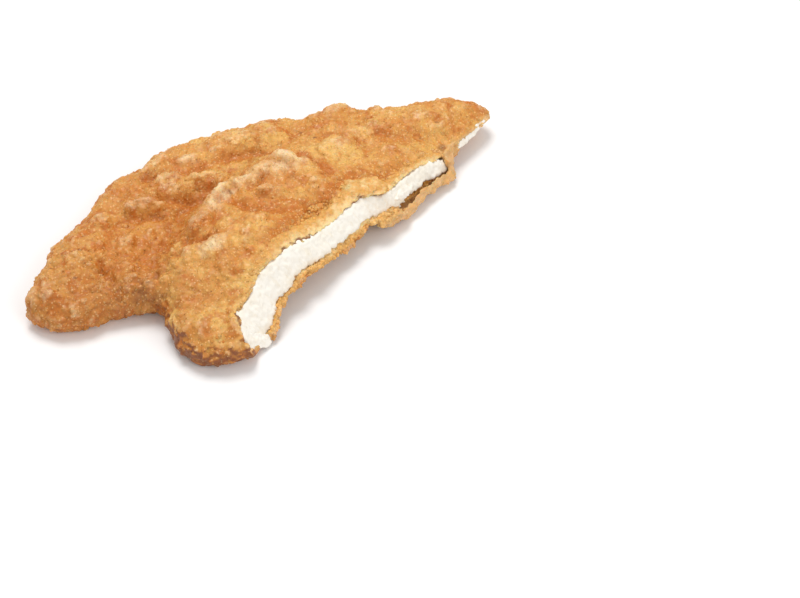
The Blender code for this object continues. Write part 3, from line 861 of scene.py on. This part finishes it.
def crust_paint(crust, tree, height, opening, flake):
    co = points_of(crust)
    normals = normals_of(crust)
    along, up, out = cut_frame(co)
    distance, torn = torn_zone(co, tree)
    upper = step(normals[:, 2], -0.2, 0.4)
    flour_and_light = np.zeros(len(co))
    toast_and_shade = np.zeros(len(co))
    for x, y, long_radius, short_radius, turn, _, floury, darkened in LUMPS:
        spot = np.exp(-oval(co, x, y, long_radius * 0.8, short_radius * 0.8, turn))
        flour_and_light = np.maximum(flour_and_light, floury * spot)
        toast_and_shade = np.maximum(toast_and_shade, darkened * spot)
    for x, y, long_radius, short_radius, turn, strength in BROWN_AND_SHADED_SPOTS:
        toast_and_shade = np.maximum(toast_and_shade, strength * np.exp(-oval(co, x, y, long_radius, short_radius, turn)))
    # Browner in the grooves: partly toast, partly painted shade in the crease.
    for radius, _, darkened, line in GROOVES:
        toast_and_shade = np.maximum(toast_and_shade, darkened * np.exp(-((line_distance(co, line)[0] / radius / 1.3) ** 2)))
    edge = between(torn, 1.15, 1.8, 0.2) * tabled(along, TORN_EDGE, 2) * between(along, 26.0, 66.0, 6.0)
    ridge, share = line_distance(co, CREST)
    on_ridge = step(share, 0.05, 0.2) * (1 - step(share, 0.93, 1.0))
    crest = np.exp(-(((ridge + 1.4) / 2.4) ** 2)) * step(share, 0.35, 0.5) * (0.75 + 0.6 * fractal(co, 4.0, 2, 23.0))
    flour_and_light = np.maximum(flour_and_light, 0.72 * crest * on_ridge)
    # Painted shade in the valley behind the ridge and on the low part beside the lobe's edge.
    valley_shade = 0.2 * np.exp(-(((ridge - 4.0) / 3.0) ** 2)) * on_ridge
    low = 0.5 * step(ridge, 0.5, 4.0) * (1 - step(along, 22.0, 45.0))
    toast_and_shade = np.maximum(np.maximum(toast_and_shade, 0.95 * edge), valley_shade + low) * upper
    # Painted shade in the hollows of the relief.
    hollow_shade = step(-height, 0.1, 1.0)
    # Low sides that turn sideways and down are painted darker: partly browning, partly painted shade.
    rim = step(-normals[:, 2], -0.75, -0.25) * step(-co[:, 2], -11.0, -6.0)
    rim *= 0.85 + 0.6 * fractal(co, 6.0, 2, 17.0)
    under = step(-normals[:, 2], 0.3, 0.9)
    # The lower rim painted darker: partly browning, partly painted shade.
    browned_and_shaded = np.zeros(len(co))
    for radius, strength, line in BROWN_AND_SHADED_RIM:
        browned_and_shaded = np.maximum(browned_and_shaded, strength * np.exp(-((line_distance(co, line)[0] / radius) ** 2)))
    browned_and_shaded *= (0.8 + 0.7 * fractal(co, 3.0, 2, 31.0)) * step(-normals[:, 2], -0.7, -0.15)
    toast_and_shade = np.maximum(toast_and_shade, browned_and_shaded)
    patches = fractal(co, 13.0, 3, 41.0)
    toast_and_shade = np.maximum(toast_and_shade, 0.9 * rim) + under * (0.12 + 0.7 * patches) + 0.42 * hollow_shade * upper
    # Paler on the relief's raised crests, partly flour and partly painted light; the pale patches underneath are real.
    flour_and_light = np.maximum(flour_and_light, 0.45 * step(height, 0.3, 1.1)) * upper + under * np.clip(-1.4 * patches, 0.0, 0.5)
    flour_and_light *= 1 - 0.8 * step(browned_and_shaded, 0.3, 0.8)
    loose = loose_share(along, up, out)
    # Darker low front: partly browning, partly painted shade; the second patch is a dark crumbly cluster.
    browner_and_shaded = 0.16 * np.exp(-oval(co, -42.0, -36.0, 30.0, 11.0, -5))
    browner_and_shaded += np.exp(-oval(co, -34.0, -31.0, 9.0, 6.0, 0)) * np.clip(0.14 + 0.9 * fractal(co, 3.5, 3, 42.0), 0.0, 0.5)
    # Painted shade in the cracks between the meat and the coat, added to the darker rim and low front.
    char = np.maximum(np.maximum(0.9 * opening, browner_and_shaded), 0.85 * step(browned_and_shaded, 0.35, 1.1))
    # Painted shade on the inside of the trench between the loose strip and the meat.
    slot = between(along, 59.0, 94.0, 1.5) * (1 - step(out, 0.3, 0.9)) * step(out, -8.0, -7.0)
    foot = tabled(along, MEAT_FOOT)
    inside = (1 - step(up, foot - 0.3, foot + 0.2)) * step(normals[:, 2], -0.2, 0.3)
    char = np.maximum(char, 0.62 * slot * inside)
    torn = np.where(slot * inside > 0.5, 0.6, torn)
    # Painted shade in the gap at the meat's end.
    end_gap = between(along, 91.6, 94.2, 0.4) * (1 - step(out, -0.7, 0.0)) * step(out, -8.0, -7.0)
    char = np.maximum(char, 0.55 * end_gap * step(up, -3.0, -2.0) * (1 - step(up, 5.0, 6.0)))
    for x, y in SPECKS:
        char = np.maximum(char, 0.75 * upper * (1 - step(oval(co, x, y, 0.65, 0.5, 30), 0.6, 1.2)))
    tan = 0.66 + 0.15 * fractal(co, 3.0, 2, 12.0) + 0.1 * fractal(co, 0.9, 2, 13.0)
    torn = np.where(loose > 0.5, np.clip(tan, 0.2, 0.9), torn)
    torn = np.where(flake > 0.5, 0.5 + 0.25 * fractal(co, 2.0, 2, 32.0), torn)
    creamy = np.maximum(np.maximum(tabled(along, TORN_EDGE, 2), loose), slot * inside)
    honey = np.zeros(len(co))
    for x, y, long_radius, short_radius, turn, strength in HONEY_SPOTS:
        honey = np.maximum(honey, strength * np.exp(-oval(co, x, y, long_radius, short_radius, turn)))
    write_attribute(crust, "honey", honey * upper)
    write_attribute(crust, "flour_and_light", flour_and_light)
    write_attribute(crust, "toast_and_shade", toast_and_shade)
    write_attribute(crust, "torn", np.clip(torn, 0.0, 3.0))
    write_attribute(crust, "creamy", creamy)
    write_attribute(crust, "char", char)
    write_attribute(crust, "loose", loose)
    bare = np.maximum(creamy * (1 - step(torn, 0.55, 0.9)), np.maximum(loose, flake)) * 0.9
    front = between(up, foot - 3.5, foot + 0.6, 0.6) * step(out, -3.0, -1.0) * (along < 92) * step(along, 1.0, 5.0) * (1 - loose)
    beads = 0.4 * between(torn, 0.85, 1.35, 0.12) * tabled(along, TORN_EDGE, 2) * (1 - flake)
    write_attribute(crust, "rim", np.clip(np.maximum(beads, front) - 2.0 * char, 0.0, 1.0))
    off_floor = step(co[:, 2], 0.3, 0.9) * (1 - 0.75 * step(browned_and_shaded, 0.4, 0.9))
    write_attribute(crust, "crumby", off_floor * np.clip(1.0 - np.maximum(bare, 0.8 * opening), 0.0, 1.0))


class SCHNITZEL_OT_crust(bpy.types.Operator):
    """Make the fried crumb crust round the meat"""

    bl_idname = "schnitzel.crust"
    bl_label = "Crumb Crust"
    bl_options = {"REGISTER", "UNDO"}

    def execute(self, context):
        p = context.scene.schnitzel_crust
        tree = exposed_meat(bpy.data.objects["white_meat"])
        crust = crust_body(p)
        height, opening, flake = crust_relief(crust, p, tree)
        crust_paint(crust, tree, height, opening, flake)
        crust.data.materials.append(crust_material(p))
        crust.data.shade_smooth()
        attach(crust, "root")
        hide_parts("breadcrumb_coat")
        return {"FINISHED"}


# ---------------------------------------------------------------------------------------------------
# The meat
# ---------------------------------------------------------------------------------------------------


def torn_shred(name, places, out):
    """A thin torn shred of meat that lies on the cut."""
    rows = [(on_cut(s, low, out), on_cut(s, (low + high) / 2, out + 0.25), on_cut(s, high, out)) for s, low, high in places]
    shred = sheet(name, rows, 0.9)
    remesh(shred, 0.3 * MM, 3)
    co = points_of(shred)
    set_points(shred, co + normals_of(shred) * (0.35 * fractal(co, 1.6, 3, 18.0))[:, None])
    return shred


class SCHNITZEL_OT_meat(bpy.types.Operator):
    """Make the slab of white meat that shows at the cut"""

    bl_idname = "schnitzel.meat"
    bl_label = "White Meat"
    bl_options = {"REGISTER", "UNDO"}

    def execute(self, context):
        p = context.scene.schnitzel_meat
        meat = merged_copy("chicken_breast", "white_meat")
        keep_behind(meat, CUT_ORIGIN + ALONG * MEAT_END, ALONG + 0.3 * UPSLOPE)
        remesh(meat, p.voxel, 4)
        co = main_forms(meat, context.scene.schnitzel_crust.flank / MM)
        set_points(meat, co)
        normals = normals_of(meat)
        along, up, out = cut_frame(co)
        co = co - UPSLOPE * (0.7 * between(along, 60.0, 80.0, 3.0) * step(up, 4.0, 7.0))[:, None]
        hidden = step(-out, 4.0, 9.0)
        co = co - normals * (1.4 * hidden)[:, None]
        pit = (1 - step(np.hypot(along - 70.2, up - 2.8), 3.0, 5.0)) * step(out, -4.0, -2.0)
        for rounds, share in ((14, step(out, -3.0, -1.0)), (70, pit)):
            smooth = np.stack([soften(meat, co[:, k], rounds) for k in range(3)], axis=1)
            co = co + (smooth - co) * share[:, None]
        set_points(meat, co)
        remesh(meat, p.voxel, 2)
        co = points_of(meat)
        along, up, out = cut_frame(co)
        normals = normals_of(meat)
        near = step(out, -4.0, -0.5)
        height = up - tabled(along, MEAT_FOOT)
        warm = 0.3 * step(along, 50.0, 75.0) + 0.5 * (1 - step(height, 0.8, 2.5)) + 0.4 * step(height, 7.5, 10.0)
        write_attribute(meat, "warm", np.clip(warm * (1.0 + 1.2 * fractal(co, 4.0, 3, 33.0)), 0.0, 1.0) * near)
        fibre = np.stack([along, up * 0.3, out * 0.3], axis=1)
        torn = 0.5 * fractal(fibre, 1.8, 3) + 0.9 * fractal(co, 3.5, 3, 4.0) + 0.5 * fractal(co, 1.1, 2, 9.0)
        edge = step(np.abs(normals @ UPSLOPE), 0.35, 0.8)
        teeth = 0.45 + 0.7 * fractal(co, 2.2, 3, 15.0) * (1 - 0.5 * step(up - tabled(along, MEAT_FOOT), 3.0, 6.0))
        set_points(meat, co + normals * ((p.tear / MM * torn + teeth * edge) * near)[:, None])
        shreds = torn_shred("tip_meat", TIP_MEAT, 0.15), torn_shred("foot_meat", FOOT_MEAT, 0.7)
        join(meat, *shreds, torn_shred("fibre_meat", FIBRE_MEAT, 0.1))
        meat.data.materials.clear()
        meat.data.materials.append(meat_material(p))
        meat.data.shade_smooth()
        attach(meat, "root")
        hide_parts("chicken_breast")
        return {"FINISHED"}


# ---------------------------------------------------------------------------------------------------
# Crumbs
# ---------------------------------------------------------------------------------------------------


def crumb_shapes(seed, rough=0.3, count=6):
    """A few uneven grains about 1 m across, in a collection of their own, to be scaled when placed."""
    folder = bpy.data.collections.new("grains")
    bpy.context.scene.collection.children.link(folder)
    for i in range(count):
        deselect()
        bpy.ops.mesh.primitive_ico_sphere_add(subdivisions=1, radius=0.5)
        grain = bpy.context.object
        for vertex in grain.data.vertices:
            place = vertex.co * 1.7 + Vector((i * 7.3, seed * 3.1, 0.0))
            vertex.co *= 1.0 + rough * noise.noise(place) * 2.0
            vertex.co.x *= 1.0 + 0.12 * (i % 3)
            vertex.co.z *= 0.78
        for other in list(grain.users_collection):
            other.objects.unlink(grain)
        folder.objects.link(grain)
    return folder


def discard(folder):
    for item in list(folder.objects):
        mesh = item.data
        bpy.data.objects.remove(item)
        bpy.data.meshes.remove(mesh)
    bpy.data.collections.remove(folder)


def scatter(name, base, folder, density, smallest, largest, sink, seed, mask):
    """Grains scattered over the base by Geometry Nodes, realized, as one mesh piece."""
    mesh = bpy.data.meshes.new(name)
    piece = bpy.data.objects.new(name, mesh)
    bpy.context.scene.collection.objects.link(piece)
    tree = bpy.data.node_groups.new(name, "GeometryNodeTree")
    tree.interface.new_socket("Geometry", in_out="OUTPUT", socket_type="NodeSocketGeometry")
    tree.interface.new_socket("Geometry", in_out="INPUT", socket_type="NodeSocketGeometry")

    def node(kind, **settings):
        made = tree.nodes.new(kind)
        for key, value in settings.items():
            setattr(made, key, value)
        return made

    link = tree.links.new
    source = node("GeometryNodeObjectInfo", transform_space="ORIGINAL")
    source.inputs["Object"].default_value = base
    spread = node("GeometryNodeDistributePointsOnFaces", distribute_method="RANDOM")
    spread.inputs["Seed"].default_value = seed
    link(source.outputs["Geometry"], spread.inputs["Mesh"])
    field = node("GeometryNodeInputNamedAttribute", data_type="FLOAT")
    field.inputs["Name"].default_value = mask
    scaled = node("ShaderNodeMath", operation="MULTIPLY")
    scaled.inputs[1].default_value = density
    link(field.outputs["Attribute"], scaled.inputs[0])
    link(scaled.outputs[0], spread.inputs["Density"])
    shapes = node("GeometryNodeCollectionInfo")
    shapes.inputs["Collection"].default_value = folder
    shapes.inputs["Separate Children"].default_value = True
    size = node("FunctionNodeRandomValue", data_type="FLOAT")
    size.inputs["Min"].default_value = smallest
    size.inputs["Max"].default_value = largest
    size.inputs["Seed"].default_value = seed + 1
    turn = node("FunctionNodeRandomValue", data_type="FLOAT_VECTOR")
    turn.inputs["Min"].default_value = (0.0, 0.0, 0.0)
    turn.inputs["Max"].default_value = (math.tau, math.tau, math.tau)
    turn.inputs["Seed"].default_value = seed + 2
    tone = node("FunctionNodeRandomValue", data_type="FLOAT")
    tone.inputs["Seed"].default_value = seed + 3
    keep = node("GeometryNodeStoreNamedAttribute", data_type="FLOAT", domain="POINT")
    keep.inputs["Name"].default_value = "shade"
    link(spread.outputs["Points"], keep.inputs["Geometry"])
    link(tone.outputs["Value"], keep.inputs["Value"])
    down = node("ShaderNodeVectorMath", operation="SCALE")
    depth = node("ShaderNodeMath", operation="MULTIPLY")
    depth.inputs[1].default_value = -sink
    link(size.outputs[1], depth.inputs[0])
    link(depth.outputs[0], down.inputs["Scale"])
    link(spread.outputs["Normal"], down.inputs[0])
    lower = node("GeometryNodeSetPosition")
    link(keep.outputs["Geometry"], lower.inputs["Geometry"])
    link(down.outputs["Vector"], lower.inputs["Offset"])
    place = node("GeometryNodeInstanceOnPoints")
    place.inputs["Pick Instance"].default_value = True
    link(lower.outputs["Geometry"], place.inputs["Points"])
    link(shapes.outputs["Instances"], place.inputs["Instance"])
    link(turn.outputs["Value"], place.inputs["Rotation"])
    link(size.outputs["Value"], place.inputs["Scale"])
    real = node("GeometryNodeRealizeInstances")
    link(place.outputs["Instances"], real.inputs["Geometry"])
    end = node("NodeGroupOutput")
    link(real.outputs["Geometry"], end.inputs["Geometry"])
    modifier = piece.modifiers.new("scatter", "NODES")
    modifier.node_group = tree
    apply_modifiers(piece)
    bpy.data.node_groups.remove(tree)
    return piece


# name, where, grains per square metre, smallest and largest across, share of that sunk, tint with its share, roughness
CRUMB_KINDS = [
    ("crumbs_rim", "rim", 1.3e6, 0.7, 1.5, 0.2, (0.76, 0.43, 0.13, 0.45), 0.45),
    ("crumbs_fine", "crumby", 0.42e6, 0.4, 0.8, 0.33, (0.84, 0.48, 0.15, 0.3), 0.42),
    ("crumbs_golden", "crumby", 0.34e6, 0.6, 1.2, 0.34, (0.78, 0.38, 0.07, 0.3), 0.42),
    ("crumbs_toasted", "crumby", 0.10e6, 0.6, 1.1, 0.36, (0.52, 0.17, 0.02, 0.4), 0.45),
    ("crumbs_pale", "crumby", 0.26e6, 0.4, 0.9, 0.3, (0.93, 0.64, 0.30, 0.4), 0.4),
    ("crumbs_dark", "crumby", 0.008e6, 0.4, 0.7, 0.34, (0.20, 0.06, 0.02, 0.6), 0.6),
]


class SCHNITZEL_OT_crumbs(bpy.types.Operator):
    """Scatter the crumbs over the crust"""

    bl_idname = "schnitzel.crumbs"
    bl_label = "Crumbs"
    bl_options = {"REGISTER", "UNDO"}

    def execute(self, context):
        p = context.scene.schnitzel_crust
        share = context.scene.schnitzel_crumbs.share
        base = bpy.data.objects["crumb_crust"]
        for i, (name, mask, density, small, large, sink, tint, rough) in enumerate(CRUMB_KINDS):
            folder = crumb_shapes(i + 1)
            piece = scatter(
                name, base, folder, density * share, small * MM, large * MM, sink, i * 10 + 3, mask
            )
            discard(folder)
            piece.data.shade_smooth()
            piece.data.materials.clear()
            piece.data.materials.append(crumb_material(p, name, tint, rough))
            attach(piece, "root")
        return {"FINISHED"}


# ---------------------------------------------------------------------------------------------------
# The stage
# ---------------------------------------------------------------------------------------------------


def soft_light(name, place, aim, size, power, colour=(1.0, 1.0, 1.0)):
    deselect()
    bpy.ops.object.light_add(type="AREA", location=place)
    light = bpy.context.object
    light.name = name
    light.data.shape = "DISK"
    light.data.size = size
    light.data.energy = power
    light.data.color = colour
    light.rotation_euler = (Vector(aim) - Vector(place)).to_track_quat("-Z", "Y").to_euler()


class SCHNITZEL_OT_stage(bpy.types.Operator):
    """Set up the plain floor, the soft light and the camera"""

    bl_idname = "schnitzel.stage"
    bl_label = "Stage"
    bl_options = {"REGISTER", "UNDO"}

    def execute(self, context):
        p = context.scene.schnitzel_stage
        deselect()
        bpy.ops.mesh.primitive_plane_add(size=6.0, location=(0.0, 0.0, CAD_LOW.z))
        floor = bpy.context.object
        floor.name = "floor"
        floor.data.materials.append(plain_material("pale_floor", p.floor, 0.7))
        world = bpy.data.worlds.new("studio")
        world.use_nodes = True
        world.node_tree.nodes["Background"].inputs["Color"].default_value = (1.0, 1.0, 1.0, 1.0)
        world.node_tree.nodes["Background"].inputs["Strength"].default_value = 0.6
        context.scene.world = world
        middle = (0.0, 0.0, 0.0)
        soft_light("key", (-0.12, 0.32, 0.95), middle, 0.5, 5.2)
        soft_light("fill", (0.55, -0.55, 0.55), middle, 0.6, 2.2)
        aim = Vector((39.27, -26.67, 1.5)) * MM
        forward = Vector((0.0, math.cos(p.elevation), -math.sin(p.elevation)))
        deselect()
        bpy.ops.object.camera_add(location=aim - forward * p.distance)
        camera = bpy.context.object
        camera.data.lens = p.lens
        camera.data.sensor_width = 36.0
        camera.data.clip_start = 0.01
        camera.rotation_euler = forward.to_track_quat("-Z", "Y").to_euler()
        context.scene.camera = camera
        context.scene.view_settings.view_transform = "Standard"
        return {"FINISHED"}


# ---------------------------------------------------------------------------------------------------
# Panel and registration
# ---------------------------------------------------------------------------------------------------

STEPS = ("meat", "crust", "crumbs", "stage")


class SCHNITZEL_PT_panel(bpy.types.Panel):
    """Lists the pieces and their properties"""

    bl_label = "Schnitzel"
    bl_space_type = "VIEW_3D"
    bl_region_type = "UI"
    bl_category = "Schnitzel"

    def draw(self, context):
        for name in STEPS:
            box = self.layout.box()
            group = getattr(context.scene, "schnitzel_" + name)
            for key in group.__annotations__:
                box.prop(group, key)
            box.operator("schnitzel." + name)


GROUPS = {
    "schnitzel_crust": CrustProperties,
    "schnitzel_meat": MeatProperties,
    "schnitzel_crumbs": CrumbProperties,
    "schnitzel_stage": StageProperties,
}
OPERATORS = (
    SCHNITZEL_OT_meat,
    SCHNITZEL_OT_crust,
    SCHNITZEL_OT_crumbs,
    SCHNITZEL_OT_stage,
)


def register():
    for name, group in GROUPS.items():
        bpy.utils.register_class(group)
        setattr(bpy.types.Scene, name, bpy.props.PointerProperty(type=group))
    for item in OPERATORS:
        bpy.utils.register_class(item)
    bpy.utils.register_class(SCHNITZEL_PT_panel)


def unregister():
    bpy.utils.unregister_class(SCHNITZEL_PT_panel)
    for item in reversed(OPERATORS):
        bpy.utils.unregister_class(item)
    for name, group in reversed(GROUPS.items()):
        delattr(bpy.types.Scene, name)
        bpy.utils.unregister_class(group)


def main():
    register()
    for name in STEPS:
        getattr(bpy.ops.schnitzel, name)()


if __name__ == "__main__":
    main()
